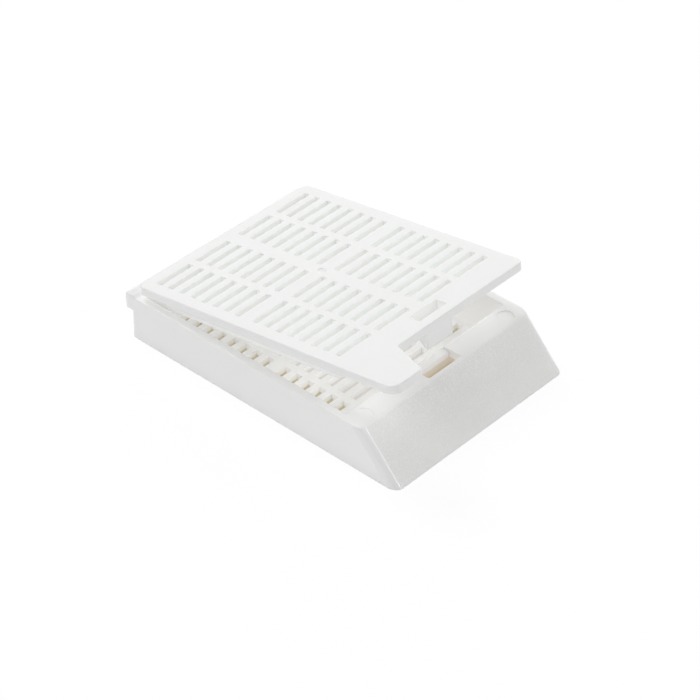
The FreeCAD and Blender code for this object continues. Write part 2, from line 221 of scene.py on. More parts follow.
# The chamber's side walls lean in towards the floor; the edge of the ledge is the softest rim.
# Whatever cuts the moulding runs on beyond the faces that it cuts.
REAR_WALL = 1.18
SIDE_WALL = 1.075
SIDE_DRAFT = 0.325
FLOOR = 0.65
LEDGE_WIDTH = 3.0
LEDGE_SOFTNESS = 0.30
CHAMBER_EDGE = 0.13
CHAMBER_CORNER = 0.25
CHAMBER_FILLET = 0.35
CHAMBER_REAR = REAR + REAR_WALL
CHAMBER_FRONT = FACE_TOP - LEDGE_WIDTH
BEYOND = 1.0


def rectangle(x_from, x_to, y_from, y_to, *radii):
    """Corners with their radii, one for all four or one each from the low X, low Y corner round."""
    radii = radii * 4 if len(radii) == 1 else radii
    places = [(x_from, y_from), (x_to, y_from), (x_to, y_to), (x_from, y_to)]
    return [(x, y, radius) for (x, y), radius in zip(places, radii)]


def chamber_ring(height, inset, front_inset):
    """The chamber's outline at a height, with the ledge's side moved in by an inset of its own."""
    half = HALF_WIDTH - SIDE_WALL - SIDE_DRAFT * (RIM - height) / (RIM - FLOOR) - inset
    corners = rectangle(CHAMBER_REAR + inset, CHAMBER_FRONT - front_inset, -half, half, CHAMBER_CORNER)
    return lying(outline(corners), height)


chamber_rings = [chamber_ring(FLOOR + rest, inset, inset) for inset, rest in reversed(arc(CHAMBER_FILLET))]
chamber_rings += [chamber_ring(RIM - rest, -inset, -inset * LEDGE_SOFTNESS / CHAMBER_EDGE)
                  for inset, rest in arc(CHAMBER_EDGE)]
chamber_rings.append(chamber_ring(RIM + BEYOND, -CHAMBER_EDGE, -LEDGE_SOFTNESS))
tray = carved(tray, stacked("chamber", chamber_rings))

# Under the ledge and behind the writing face the moulding is hollow and open below.
FRONT_WALL = 0.80
FACE_WALL = 1.0
LEDGE_THICKNESS = 1.0
HOLLOW_CORNER = 0.25
HOLLOW_FOOT_ROUNDING = 0.05
HOLLOW_ENDS = (0.2, 0.2)
face_run = 1 / math.tan(FACE_ANGLE)
inner_foot = TOE - FACE_WALL / math.sin(FACE_ANGLE)
inside = HALF_WIDTH - SIDE_WALL
hollow_section = [
    (CHAMBER_FRONT + FRONT_WALL, -BEYOND, HOLLOW_FOOT_ROUNDING),
    (inner_foot + BEYOND * face_run, -BEYOND, HOLLOW_FOOT_ROUNDING),
    (inner_foot - (RIM - LEDGE_THICKNESS) * face_run, RIM - LEDGE_THICKNESS, HOLLOW_CORNER),
    (CHAMBER_FRONT + FRONT_WALL, RIM - LEDGE_THICKNESS, HOLLOW_CORNER)]
tray = carved(tray, bar_of("hollow", hollow_section, -inside, inside, HOLLOW_ENDS, standing))

# The lid's latch drops through a slot in the ledge, which is lowered a little behind it.
CATCH_MARGIN = 0.385
CATCH_WIDTH = 1.72
CATCH_FRONT = FACE_TOP - CATCH_MARGIN
CATCH_REAR = CATCH_FRONT - CATCH_WIDTH
CATCH_NEAR, CATCH_FAR = -2.63, 2.82
CATCH_CORNERS = (0.30, 0.30, 0.06, 0.06)
CATCH_MOUTHS = (0.05, 0.05)
RELIEF_DEPTH = 0.30
RELIEF_CORNER = 0.02


def punch(name, corners, low, high, mouths, steps=3, draft=0.0):
    """What a punch takes out from low to high; a mouth with a radius leaves a rounded edge.

    The draft is how much narrower each side of the hole is at its low mouth."""
    rings = [lying(outline(corners, draft - mouths[0], steps), low - BEYOND)]
    for widening, rest in reversed(arc(mouths[0], steps)):
        rings.append(lying(outline(corners, draft - widening, steps), low + rest))
    for widening, rest in arc(mouths[1], steps):
        rings.append(lying(outline(corners, -widening, steps), high - rest))
    rings.append(lying(outline(corners, -mouths[1], steps), high + BEYOND))
    return stacked(name, rings)


lowered = rectangle(CHAMBER_FRONT - BEYOND, (CATCH_REAR + CATCH_FRONT) / 2,
                    CATCH_NEAR, CATCH_FAR, RELIEF_CORNER)
relief = bar_of("relief", lowered, RIM - RELIEF_DEPTH, RIM + BEYOND)
catch_outline = rectangle(CATCH_REAR, CATCH_FRONT, CATCH_NEAR, CATCH_FAR, *CATCH_CORNERS)
catch = punch("catch", catch_outline, RIM - LEDGE_THICKNESS, RIM, CATCH_MOUTHS)
tray = carved(tray, relief, catch)

# Two shallow round marks beside it show where ejector pins pushed the moulding out, each a little
# deeper on one side.  Their profile is listed as radius and depth, from the bottom up.
EJECTOR_SIDE_MARGIN = 2.46
EJECTOR_FACE_MARGIN = 1.465
EJECTOR_PROFILE = ((0.91, 0.07), (0.94, 0.06), (0.95, 0.02), (0.97, 0.0), (0.97, -BEYOND))
EJECTOR_STEPS = 40
EJECTOR_SINK = 1.1
EJECTOR_TILT = 0.6


def circle(middle_x, middle_y, radius, steps):
    turns = [math.tau * step / steps for step in range(steps)]
    return [(middle_x + radius * math.cos(turn), middle_y + radius * math.sin(turn)) for turn in turns]


for side, deepest in ((-1, 3.7), (1, 2.4)):
    middle_x = FACE_TOP - EJECTOR_FACE_MARGIN
    middle_y = side * (HALF_WIDTH - EJECTOR_SIDE_MARGIN)
    sinks = [EJECTOR_SINK + EJECTOR_TILT * math.cos(math.tau * step / EJECTOR_STEPS - deepest)
             for step in range(EJECTOR_STEPS)]
    mark_rings = [[(x, y, RIM - depth * sink)
                   for (x, y), sink in zip(circle(middle_x, middle_y, radius, EJECTOR_STEPS), sinks)]
                  for radius, depth in EJECTOR_PROFILE]
    tray = carved(tray, stacked("ejector_mark", mark_rings))

# Two notches in the bar take the lid's arms, each with a socket for a pin at either side.
HINGE = Vector(frame["joints"][0]["pos_m"]) / MM
ARM_INSET = 6.25
NOTCH_MIDDLES = (ARM_INSET - HALF_WIDTH, HALF_WIDTH - ARM_INSET)
NOTCH_HALF = 1.70
NOTCH_ROUNDING = 0.08
NOSE_ROOM = 0.50
SOCKET_RADIUS = 0.33
SOCKET_REACH = 2.35
ROUND_STEPS = 20
for middle in NOTCH_MIDDLES:
    notch_outline = rectangle(HINGE.x - NOSE_ROOM, CHAMBER_REAR + BEYOND,
                              middle - NOTCH_HALF, middle + NOTCH_HALF, NOTCH_ROUNDING)
    notch = bar_of("notch", notch_outline, HINGE.z - NOSE_ROOM, BAR_TOP + BEYOND, (NOTCH_ROUNDING, 0.0))
    socket_ring = circle(HINGE.x, HINGE.z, SOCKET_RADIUS, ROUND_STEPS)
    socket = stacked("socket", [standing(socket_ring, middle + side * SOCKET_REACH) for side in (-1, 1)])
    tray = carved(tray, notch, socket)

# ---- Acetal --------------------------------------------------------------------------------------
# Both pieces are white acetal, clouded a little by the flow of the melt.  The mould leaves satin
# flats, polished edges and a spark-eroded grain on the writing face, which takes pencil and print.


class Wire:
    """One socket of a material's nodes; arithmetic on it adds the Math nodes that work it out."""

    def __init__(self, tree, socket):
        self.tree = tree
        self.socket = socket

    def node(self, kind, values, output=0, **settings):
        made = self.tree.nodes.new(kind)
        for key, value in settings.items():
            setattr(made, key, value)
        for key, value in values.items():
            if isinstance(value, Wire):
                self.tree.links.new(value.socket, made.inputs[key])
            else:
                made.inputs[key].default_value = value
        return Wire(self.tree, made.outputs[output])

    def math(self, operation, *values):
        return self.node("ShaderNodeMath", dict(enumerate(values)), operation=operation)

    def __add__(self, other):
        return self.math("ADD", self, other)

    def __radd__(self, other):
        return self.math("ADD", other, self)

    def __sub__(self, other):
        return self.math("SUBTRACT", self, other)

    def __rsub__(self, other):
        return self.math("SUBTRACT", other, self)

    def __mul__(self, other):
        return self.math("MULTIPLY", self, other)

    def __rmul__(self, other):
        return self.math("MULTIPLY", other, self)

    def __abs__(self):
        return self.math("ABSOLUTE", self)

    def __lt__(self, other):
        return self.math("LESS_THAN", self, other)

    def __gt__(self, other):
        return self.math("GREATER_THAN", self, other)

    def axes(self):
        """The X, Y and Z of a vector."""
        return [self.node("ShaderNodeSeparateXYZ", {0: self}, output=axis) for axis in "XYZ"]

    def noise(self, size, detail=2.0, distortion=0.0):
        """Noise with lumps of about this size in millimetres, round 0.5."""
        return self.node("ShaderNodeTexNoise", {"Vector": self, "Scale": 1 / size, "Detail": detail,
                                                "Distortion": distortion})

    def between(self, low, high, smallest=0.0, largest=1.0):
        """Carries this value's range from low to high onto another range, clamped."""
        return self.node("ShaderNodeMapRange", {"From Min": low, "From Max": high, "To Min": smallest,
                                                "To Max": largest, "Value": self}, clamp=True)

    def blend(self, low, high):
        """The colour low where this value is 0 and high where it is 1."""
        return self.node("ShaderNodeMix", {0: self, 6: low, 7: high}, output=2, data_type="RGBA")


# The melt leaves clouds of slightly different white, patches of slightly different gloss and a
# surface that waves and ripples a little.
CLOUD_SIZE = 6.0
CLOUD_DETAIL = 3.0
CLOUD_WARP = 0.6
CLOUD_RANGE = (0.35, 0.65)
GLOSS_PATCH_SIZE = 2.5
GLOSS_SPREAD = 0.08
WAVE_SIZE = 0.9
RIPPLE_SIZE = 0.12
RIPPLE_SHARE = 0.15
WAVE_DEPTH = 0.004
ACETAL_IOR = 1.48

# Painted shade down in the catch slot, warm like light that has come through the plastic, fades in
# from the first to the second distance of each pair.  They are measured back from the catch's front
# and from its rear, sideways from its middle, and down from the rim for the shade's foot and for each of its
# two tints.
CATCH_SHADE_CREAM = (0.86, 0.77, 0.62, 1.0)
CATCH_SHADE_AMBER = (0.55, 0.38, 0.20, 1.0)
CATCH_SHADE_FRONT = (0.02, 0.06)
CATCH_SHADE_REAR = (0.6, 0.3)
CATCH_SHADE_SIDES = (4.4, 3.2)
CATCH_SHADE_FOOT = (3.6, 2.6)
SHADE_CREAM_DEPTHS = (0.7, 2.0)
SHADE_AMBER_DEPTHS = (1.8, 3.4)


def painted_catch_shade(place, base):
    """Painted shade down in the catch slot, cream and then amber deeper down, warm like light come through
    thick walls.
    """
    x, y, z = place.axes()

    def behind(edge, outside, inside):
        return x.between(edge - outside, edge - inside)

    def below_rim(outside, inside):
        return z.between(RIM - outside, RIM - inside)

    beside = abs(y - (CATCH_NEAR + CATCH_FAR) / 2)
    shaded_in_catch = (behind(CATCH_FRONT, *CATCH_SHADE_FRONT) * behind(CATCH_REAR, *CATCH_SHADE_REAR)
                * beside.between(*CATCH_SHADE_SIDES) * below_rim(*CATCH_SHADE_FOOT))
    # Painted shade: the catch's walls turn cream, then amber, the deeper they lie.
    base = (shaded_in_catch * below_rim(*SHADE_CREAM_DEPTHS)).blend(base, CATCH_SHADE_CREAM)
    return (shaded_in_catch * below_rim(*SHADE_AMBER_DEPTHS)).blend(base, CATCH_SHADE_AMBER)


# The grain's pits and specks come from noise, each over its own range of the noise.  Painted shade
# darkens the pits and painted glints whiten the specks.  Painted light makes the face lighter low
# down, setting in between two heights given as shares of the rim's height, and towards the far side.
GRAIN_PAINTED_LIGHT = (0.968, 0.963, 0.958, 1.0)
GRAIN_PIT_SHADE = (0.30, 0.29, 0.28, 1.0)
GRAIN_PAINTED_GLINT = (1.0, 1.0, 0.99, 1.0)
PIT_SIZE = 0.20
PIT_RANGE = (0.60, 0.40)
PIT_PAINTED_SHADE = 0.03
SPECK_SIZE = 0.16
SPECK_RANGE = (0.58, 0.68)
SPECK_POLISH = 0.40
PIT_SHARE = 0.4
SPECK_SHARE = 0.8
GRAIN_DEPTH = 0.03
PAINTED_LIGHT_LOW_DOWN = 0.8
PAINTED_LIGHT_RANGE = (0.5, 0.1)
PAINTED_LIGHT_FAR_SIDE = 0.4


def spark_grain(place, base, gloss):
    """Fine pits with painted shade and specks that glint by their polish and by painted glints; painted
    light makes the grain lighter low down and towards the far side.
    """
    pits = place.noise(PIT_SIZE)
    specks = place.noise(SPECK_SIZE, detail=0.0).between(*SPECK_RANGE)
    y, z = place.axes()[1:]
    # Painted light: the grain is lighter low down and towards the far side.
    low_down = z.between(*(share * RIM for share in PAINTED_LIGHT_RANGE))
    painted_light = PAINTED_LIGHT_LOW_DOWN * low_down + PAINTED_LIGHT_FAR_SIDE * y.between(0.0, HALF_WIDTH)
    base = painted_light.blend(base, GRAIN_PAINTED_LIGHT)
    # Painted shade in the pits.
    base = pits.between(*PIT_RANGE, 0.0, PIT_PAINTED_SHADE).blend(base, GRAIN_PIT_SHADE)
    surface = PIT_SHARE * pits + SPECK_SHARE * specks
    # The specks glint by their polish and are also whitened as painted glints.
    return specks.blend(base, GRAIN_PAINTED_GLINT), gloss - SPECK_POLISH * specks, surface


def plastic(name, colour, shade, roughness, grain=False):
    """White acetal of one finish, clouded between two whites, with painted shade down in the catch slot."""
    material = bpy.data.materials.new(name)
    material.use_nodes = True
    tree = material.node_tree
    shader = tree.nodes["Principled BSDF"]
    metres = Wire(tree, tree.nodes.new("ShaderNodeTexCoord").outputs["Object"])
    place = metres.node("ShaderNodeVectorMath", {0: metres, "Scale": 1 / MM}, operation="SCALE")
    cloud = place.noise(CLOUD_SIZE, CLOUD_DETAIL, CLOUD_WARP).between(*CLOUD_RANGE)
    # The base colour carries painted shade down in the tray's catch slot.
    base = painted_catch_shade(place, cloud.blend(shade, colour))
    gloss = roughness + GLOSS_SPREAD * (place.noise(GLOSS_PATCH_SIZE) - 0.5)
    if grain:
        base, gloss, surface = spark_grain(place, base, gloss)
        depth = GRAIN_DEPTH * MM
    else:
        surface = place.noise(WAVE_SIZE) + RIPPLE_SHARE * place.noise(RIPPLE_SIZE, detail=1.0)
        depth = WAVE_DEPTH * MM
    bump = place.node("ShaderNodeBump", {"Height": surface, "Distance": depth, "Strength": 1.0},
                      output="Normal")
    tree.links.new(base.socket, shader.inputs["Base Color"])
    tree.links.new(gloss.socket, shader.inputs["Roughness"])
    tree.links.new(bump.socket, shader.inputs["Normal"])
    shader.inputs["IOR"].default_value = ACETAL_IOR
    return material


# How rough each finish is.
SATIN = 0.32
POLISH = 0.13
GRAIN = 0.60
smooth_acetal = plastic("smooth_acetal", (0.943, 0.938, 0.936, 1.0), (0.937, 0.930, 0.928, 1.0), SATIN)
# The edges' plastic is a little lighter than the flats': a painted highlight on top of their real polish.
polished_acetal_painted_highlight = plastic("polished_acetal_painted_highlight", (0.955, 0.955, 0.950, 1.0), (0.945, 0.944, 0.938, 1.0), POLISH)
grained_acetal = plastic("grained_acetal", (0.920, 0.914, 0.910, 1.0), (0.900, 0.892, 0.887, 1.0), GRAIN,
                         grain=True)

# ---- Slots in the tray's floor -------------------------------------------------------------------
# Fluid drains through sixty-four straight slots in the floor, moulded in four rows of sixteen.  A
# wider bar is left across the middle each way, and every slot's upper mouth is rounded over.
FLOOR_SLOT_WIDTH = 0.91
FLOOR_SLOT_DRAFT = 0.10
FLOOR_SPINE = 1.83
FLOOR_ROW_BAR = 1.00
FLOOR_SIDE_MARGIN = 0.635
FLOOR_SLOT_CORNER = 0.04
FLOOR_SLOT_MOUTHS = (0.0, 0.05)
COLUMNS = 16
ROWS = 4
FIRST_COLUMN_MARGIN = 1.332
LAST_COLUMN_MARGIN = 1.719
MIDDLE_BAR_EXTRA = 0.884
first_column = CHAMBER_REAR + FIRST_COLUMN_MARGIN
last_column = CHAMBER_FRONT - LAST_COLUMN_MARGIN
column_step = (last_column - first_column - MIDDLE_BAR_EXTRA) / (COLUMNS - 1)


def slot_pattern(name):
    """Geometry Nodes that punch a cutter through a plate in rows and columns."""
    tree = bpy.data.node_groups.new(name, "GeometryNodeTree")
    kinds = {"Plate": "Geometry", "Cutter": "Object", "Plastic": "Material", "Columns": "Int",
             "Column step": "Float", "Wider column bar": "Float", "Rows": "Int", "Row step": "Float",
             "Wider row bar": "Float", "Middle": "Vector"}
    names = {label: tree.interface.new_socket(label, socket_type="NodeSocket" + kind).identifier
             for label, kind in kinds.items()}
    tree.interface.new_socket("Plate", in_out="OUTPUT", socket_type="NodeSocketGeometry")
    given = tree.nodes.new("NodeGroupInput").outputs

    def node(kind, values, output=0, **settings):
        made = tree.nodes.new(kind)
        for key, value in settings.items():
            setattr(made, key, value)
        for key, value in values.items():
            if isinstance(value, bpy.types.NodeSocket):
                tree.links.new(value, made.inputs[key])
            else:
                made.inputs[key].default_value = value
        return made.outputs[output]

    def maths(operation, first, second):
        return node("ShaderNodeMath", {0: first, 1: second}, operation=operation)

    def run(count, step, wider, axis):
        """A centred run of points along an axis, its second half set further off."""
        length = maths("ADD", maths("MULTIPLY", maths("SUBTRACT", count, 1.0), step), wider)
        start = node("ShaderNodeCombineXYZ", {axis: maths("MULTIPLY", length, -0.5)})
        offset = node("ShaderNodeCombineXYZ", {axis: step})
        line = node("GeometryNodeMeshLine", {"Count": count, "Start Location": start, "Offset": offset},
                    mode="OFFSET", count_mode="TOTAL")
        half = maths("DIVIDE", count, 2.0)
        beyond = maths("GREATER_THAN", node("GeometryNodeInputIndex", {}), maths("SUBTRACT", half, 0.5))
        shift = node("ShaderNodeCombineXYZ", {axis: maths("MULTIPLY", beyond, wider)})
        return node("GeometryNodeSetPosition", {"Geometry": line, "Offset": shift})

    columns = run(given["Columns"], given["Column step"], given["Wider column bar"], "X")
    rows = run(given["Rows"], given["Row step"], given["Wider row bar"], "Y")
    places = node("GeometryNodeInstanceOnPoints", {"Points": columns, "Instance": rows})
    places = node("GeometryNodeRealizeInstances", {"Geometry": places})
    places = node("GeometryNodeSetPosition", {"Geometry": places, "Offset": given["Middle"]})
    cutter = node("GeometryNodeObjectInfo", {"Object": given["Cutter"]}, output="Geometry")
    cutters = node("GeometryNodeInstanceOnPoints", {"Points": places, "Instance": cutter})
    cutters = node("GeometryNodeRealizeInstances", {"Geometry": cutters})
    punched = node("GeometryNodeMeshBoolean", {"Mesh 1": given["Plate"], "Mesh 2": cutters},
                   operation="DIFFERENCE", solver="EXACT")
    punched = node("GeometryNodeRealizeInstances", {"Geometry": punched})
    punched = node("GeometryNodeSetMaterial", {"Geometry": punched, "Material": given["Plastic"]})
    tree.links.new(punched, tree.nodes.new("NodeGroupOutput").inputs["Plate"])
    return tree, names


def punched_with(plate, cutter, plastic, **sizes):
    """Runs the slot pattern on a plate, with the sizes given by their input names."""
    tree, names = slot_pattern(plate.name + "_slots")
    step = plate.modifiers.new("slots", "NODES")
    step.node_group = tree
    step[names["Cutter"]] = cutter
    step[names["Plastic"]] = plastic
    for label, value in sizes.items():
        step[names[label.replace("_", " ")]] = value
    settled(plate)
    bpy.data.objects.remove(cutter)
    return plate


floor_half = HALF_WIDTH - SIDE_WALL - SIDE_DRAFT
floor_slot_length = (floor_half - FLOOR_SIDE_MARGIN - FLOOR_ROW_BAR - FLOOR_SPINE / 2) / 2
floor_slot = rectangle(-FLOOR_SLOT_WIDTH / 2, FLOOR_SLOT_WIDTH / 2,
                       -floor_slot_length / 2, floor_slot_length / 2, FLOOR_SLOT_CORNER)
floor_cutter = punch("floor_slot", floor_slot, 0.0, FLOOR, FLOOR_SLOT_MOUTHS, draft=FLOOR_SLOT_DRAFT)
tray = punched_with(tray, floor_cutter, smooth_acetal, Columns=COLUMNS, Column_step=column_step,
                    Wider_column_bar=MIDDLE_BAR_EXTRA, Rows=ROWS, Row_step=floor_slot_length + FLOOR_ROW_BAR,
                    Wider_row_bar=FLOOR_SPINE - FLOOR_ROW_BAR,
                    Middle=((first_column + last_column) / 2, 0.0, 0.0))

# Narrow faces are the rounded edges.  Those that turn sideways or back are polished, and their
# plastic is a shade lighter than the flats as a painted highlight; the writing face's top edge is left as
# satin as the flats.
EDGE_WIDTH = 0.1
TURNED_SIDEWAYS = 0.1
TURNED_BACK = -0.05
GRAINED_AREA = 20.0
SQUARE_ON = 0.9995
CREASE = math.radians(38)


def faced(solid, plastics, grained_towards=None):
    """Gives each face its plastic: for the flats, for the edges and for the big grained face."""
    solid.data.materials.clear()
    for material in plastics:
        solid.data.materials.append(material)
    bm = bmesh.new()
    bm.from_mesh(solid.data)
    for face in bm.faces:
        area = face.calc_area()
        narrow = 2 * area / face.calc_perimeter() < EDGE_WIDTH
        turned = abs(face.normal.y) > TURNED_SIDEWAYS or face.normal.x < TURNED_BACK
        face.material_index = int(narrow and turned)
        if grained_towards and area > GRAINED_AREA and face.normal.dot(grained_towards) > SQUARE_ON:
            face.material_index = 2
    bm.to_mesh(solid.data)
    bm.free()
    return solid


def finished(solid, swing=None):
    """Swings the moulding, takes it to metres and lets its roundings shade softly."""
    if swing:
        solid.data.transform(swing)
    solid.data.transform(Matrix.Scale(MM, 4))
    for face in solid.data.polygons:
        face.use_smooth = True
    solid.data.set_sharp_from_angle(angle=CREASE)
    step = solid.modifiers.new("shading", "WEIGHTED_NORMAL")
    step.keep_sharp = True
    return settled(solid)


face_normal = Vector((math.sin(FACE_ANGLE), 0.0, math.cos(FACE_ANGLE)))
tray = faced(tray, (smooth_acetal, polished_acetal_painted_highlight, grained_acetal), grained_towards=face_normal)
tray = finished(tray)
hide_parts("base")
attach(tray, "base")

# ---- Lid -----------------------------------------------------------------------------------------
# A second acetal moulding: a flat plate with a thumb tab at its near front corner and a shallow
# locating rim below.  It is drawn closed here and swung open about the hinge when it is finished.
lid_acetal = plastic("lid_acetal", (0.905, 0.915, 0.903, 1.0), (0.898, 0.905, 0.893, 1.0), SATIN)
LID_SIDE_INSET = 0.43
LID_REAR_OVERLAP = 0.077
LID_FRONT_MARGIN = 0.112
LID_SHIFT = -0.13
LID_SEAT_GAP = 0.36
LID_THICKNESS = 1.09
LID_CORNER = 0.80
LID_EDGES = (0.14, 0.14)
TAB_REACH = 5.21
TAB_TIP_WIDTH = 4.57
TAB_ROOT_WIDTH = 6.62
TAB_OUTER_CORNER = 1.30
TAB_INNER_CORNER = 0.60
TAB_ROOT_CORNER = 0.25
LID_UNDER = RIM + LID_SEAT_GAP
LID_TOP = LID_UNDER + LID_THICKNESS
LID_HALF = HALF_WIDTH - LID_SIDE_INSET
LID_REAR = CHAMBER_REAR - LID_REAR_OVERLAP
LID_FRONT = FACE_TOP - LID_FRONT_MARGIN
TAB_TIP = LID_FRONT + TAB_REACH
lid_near = LID_SHIFT - LID_HALF
lid_far = LID_SHIFT + LID_HALF
lid_outline = [
    (LID_REAR, lid_near, LID_CORNER), (TAB_TIP, lid_near, TAB_OUTER_CORNER),
    (TAB_TIP, lid_near + TAB_TIP_WIDTH, TAB_INNER_CORNER),
    (LID_FRONT, lid_near + TAB_ROOT_WIDTH, TAB_ROOT_CORNER),
    (LID_FRONT, lid_far, LID_CORNER), (LID_REAR, lid_far, LID_CORNER)]
lid = bar_of("lid_moulding", lid_outline, LID_UNDER, LID_TOP, LID_EDGES)

# The melt came in through a gate at the middle of the plate, which left a shallow round mark.
# Its profile is listed as radius and height over the plate's top, from the bottom up.
LID_COLUMN_SHIFT = 0.413
GATE_STEPS = 32
GATE_PROFILE = ((0.50, -0.13), (0.54, -0.11), (0.56, -0.03), (0.60, 0.0), (0.60, BEYOND))
lid_middle = (first_column + last_column) / 2 + LID_COLUMN_SHIFT
gate_rings = [lying(circle(lid_middle, LID_SHIFT, radius, GATE_STEPS), LID_TOP + rise)
              for radius, rise in GATE_PROFILE]
lid = carved(lid, stacked("gate_mark", gate_rings))

# The locating rim below the plate drops into the chamber's mouth.
RING_DEPTH = 1.40
RING_WALL = 0.60
RING_CORNER = 1.5
RING_EDGES = (0.10, 0.0)
RING_REAR_CLEARANCE = 0.423
RING_SIDE_CLEARANCE = 0.325
RING_FRONT_CLEARANCE = 0.082
INTO_PLATE = 0.2
ring_rear = CHAMBER_REAR + RING_REAR_CLEARANCE
ring_front = CHAMBER_FRONT - RING_FRONT_CLEARANCE
ring_half = HALF_WIDTH - SIDE_WALL - RING_SIDE_CLEARANCE
ring_low = LID_UNDER - RING_DEPTH
ring_high = LID_UNDER + INTO_PLATE
outer = rectangle(ring_rear, ring_front, LID_SHIFT - ring_half, LID_SHIFT + ring_half, RING_CORNER)
inner = rectangle(ring_rear + RING_WALL, ring_front - RING_WALL,
                  LID_SHIFT - ring_half + RING_WALL, LID_SHIFT + ring_half - RING_WALL,
                  RING_CORNER - RING_WALL)
ring = carved(bar_of("locating_rim", outer, ring_low, ring_high, RING_EDGES),
              punch("locating_rim_inside", inner, ring_low, ring_high, RING_EDGES, steps=5))
lid = welded(lid, ring)

# The latch is a hooked tongue at the middle of the front edge, with a window in the plate above
# its hook through which the mould formed it.
LATCH_FRONT_CLEARANCE = 0.297
LATCH_REAR_CLEARANCE = 0.123
LATCH_NEAR_CLEARANCE = 0.40
LATCH_FAR_CLEARANCE = 0.90
LATCH_THICKNESS = 0.753
LATCH_DEPTH = 2.56
LATCH_BEVEL = 0.2
LATCH_TIP = 0.12
LATCH_SIDES = (0.08, 0.08)
HOOK_DEPTH = 1.26
HOOK_BLUNT = 0.35
HOOK_EDGE = 0.08
HOOK_THROAT = 0.10
ROOT_INTO_PLATE = 0.3
WINDOW_LENGTH = 1.43
WINDOW_SIDE_MARGIN = 0.15
WINDOW_CORNER = 0.08
WINDOW_MOUTHS = (0.05, 0.06)
latch_face = CATCH_FRONT - LATCH_FRONT_CLEARANCE
latch_back = latch_face - LATCH_THICKNESS
latch_near = CATCH_NEAR + LATCH_NEAR_CLEARANCE
latch_far = CATCH_FAR - LATCH_FAR_CLEARANCE
latch_low = LID_UNDER - LATCH_DEPTH
hook_rear = CATCH_REAR + LATCH_REAR_CLEARANCE
hook_top = LID_UNDER - HOOK_DEPTH
root = LID_UNDER + ROOT_INTO_PLATE
latch_section = [
    (latch_face, root, SHARP), (latch_back, root, SHARP), (latch_back, hook_top, HOOK_THROAT),
    (hook_rear, hook_top, HOOK_EDGE), (hook_rear, hook_top - HOOK_BLUNT, HOOK_EDGE),
    (latch_face - LATCH_BEVEL, latch_low, LATCH_TIP), (latch_face, latch_low + LATCH_BEVEL, LATCH_TIP)]
latch = bar_of("latch", latch_section, latch_near, latch_far, LATCH_SIDES, standing)
window_outline = rectangle(latch_back - WINDOW_LENGTH, latch_back, latch_near - WINDOW_SIDE_MARGIN,
                           latch_far + WINDOW_SIDE_MARGIN, WINDOW_CORNER)
window = punch("window", window_outline, LID_UNDER, LID_TOP, WINDOW_MOUTHS)
lid = welded(carved(lid, window), latch)

# Two arms hang from the plate's rear edge into the notches and turn on short pins, whose profile
# is listed as radius and place along the axis.
ARM_HALF = 1.5
ARM_THICKNESS = 0.70
ARM_SIDES = (0.08, 0.08)
ARM_WALL_CLEARANCE = 0.323
ARM_ABOVE_AXIS = 0.15
ARM_NOSE = 0.38
NOSE_BEVEL = 0.18
NOSE_TOP_ROUNDING = 0.25
NOSE_UNDER_ROUNDING = 0.37
ARM_BEND_ROUNDING = 0.10
ARM_FOOT_ROUNDING = 0.20
PIN_PROFILE = ((0.20, -1.95), (0.25, -1.90), (0.25, 1.90), (0.20, 1.95))
arm_rear = CHAMBER_REAR + ARM_WALL_CLEARANCE
arm_front = arm_rear + ARM_THICKNESS
arm_low = HINGE.z - ARM_NOSE
nose_rear = HINGE.x - ARM_NOSE
nose_top = HINGE.z + ARM_NOSE
arm_section = [
    (arm_front, root, SHARP), (arm_rear, root, SHARP),
    (arm_rear, HINGE.z + ARM_ABOVE_AXIS, ARM_BEND_ROUNDING),
    (HINGE.x, nose_top, NOSE_TOP_ROUNDING), (nose_rear, nose_top - NOSE_BEVEL, NOSE_TOP_ROUNDING),
    (nose_rear, arm_low, NOSE_UNDER_ROUNDING), (arm_front, arm_low, ARM_FOOT_ROUNDING)]
for middle in NOTCH_MIDDLES:
    arm = bar_of("arm", arm_section, middle - ARM_HALF, middle + ARM_HALF, ARM_SIDES, standing)
    pin = stacked("pin", [standing(circle(HINGE.x, HINGE.z, radius, ROUND_STEPS), middle + along)
                          for radius, along in PIN_PROFILE])
    lid = welded(lid, arm, pin)

# The slots lie over the tray's, a little further forward and narrower.
LID_SLOT_WIDTH = 0.643
LID_SPINE = 1.93
LID_ROW_BAR = 1.10
LID_SIDE_MARGIN = 1.655
LID_SLOT_CORNER = 0.03
LID_SLOT_MOUTHS = (0.05, 0.08)
lid_slot_length = (LID_HALF - LID_SIDE_MARGIN - LID_ROW_BAR - LID_SPINE / 2) / 2
lid_slot = rectangle(-LID_SLOT_WIDTH / 2, LID_SLOT_WIDTH / 2,
                     -lid_slot_length / 2, lid_slot_length / 2, LID_SLOT_CORNER)
lid_cutter = punch("lid_slot", lid_slot, LID_UNDER, LID_TOP, LID_SLOT_MOUTHS)
lid = punched_with(lid, lid_cutter, lid_acetal, Columns=COLUMNS, Column_step=column_step,
                   Wider_column_bar=MIDDLE_BAR_EXTRA, Rows=ROWS, Row_step=lid_slot_length + LID_ROW_BAR,
                   Wider_row_bar=LID_SPINE - LID_ROW_BAR, Middle=(lid_middle, LID_SHIFT, 0.0))

AJAR = math.radians(9.2)
turned = Matrix.Rotation(AJAR, 4, Vector((0, -1, 0)))
swung_open = Matrix.Translation(HINGE) @ turned @ Matrix.Translation(-HINGE)
lid = finished(faced(lid, (lid_acetal, polished_acetal_painted_highlight)), swing=swung_open)
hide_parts("lid")
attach(lid, "lid")

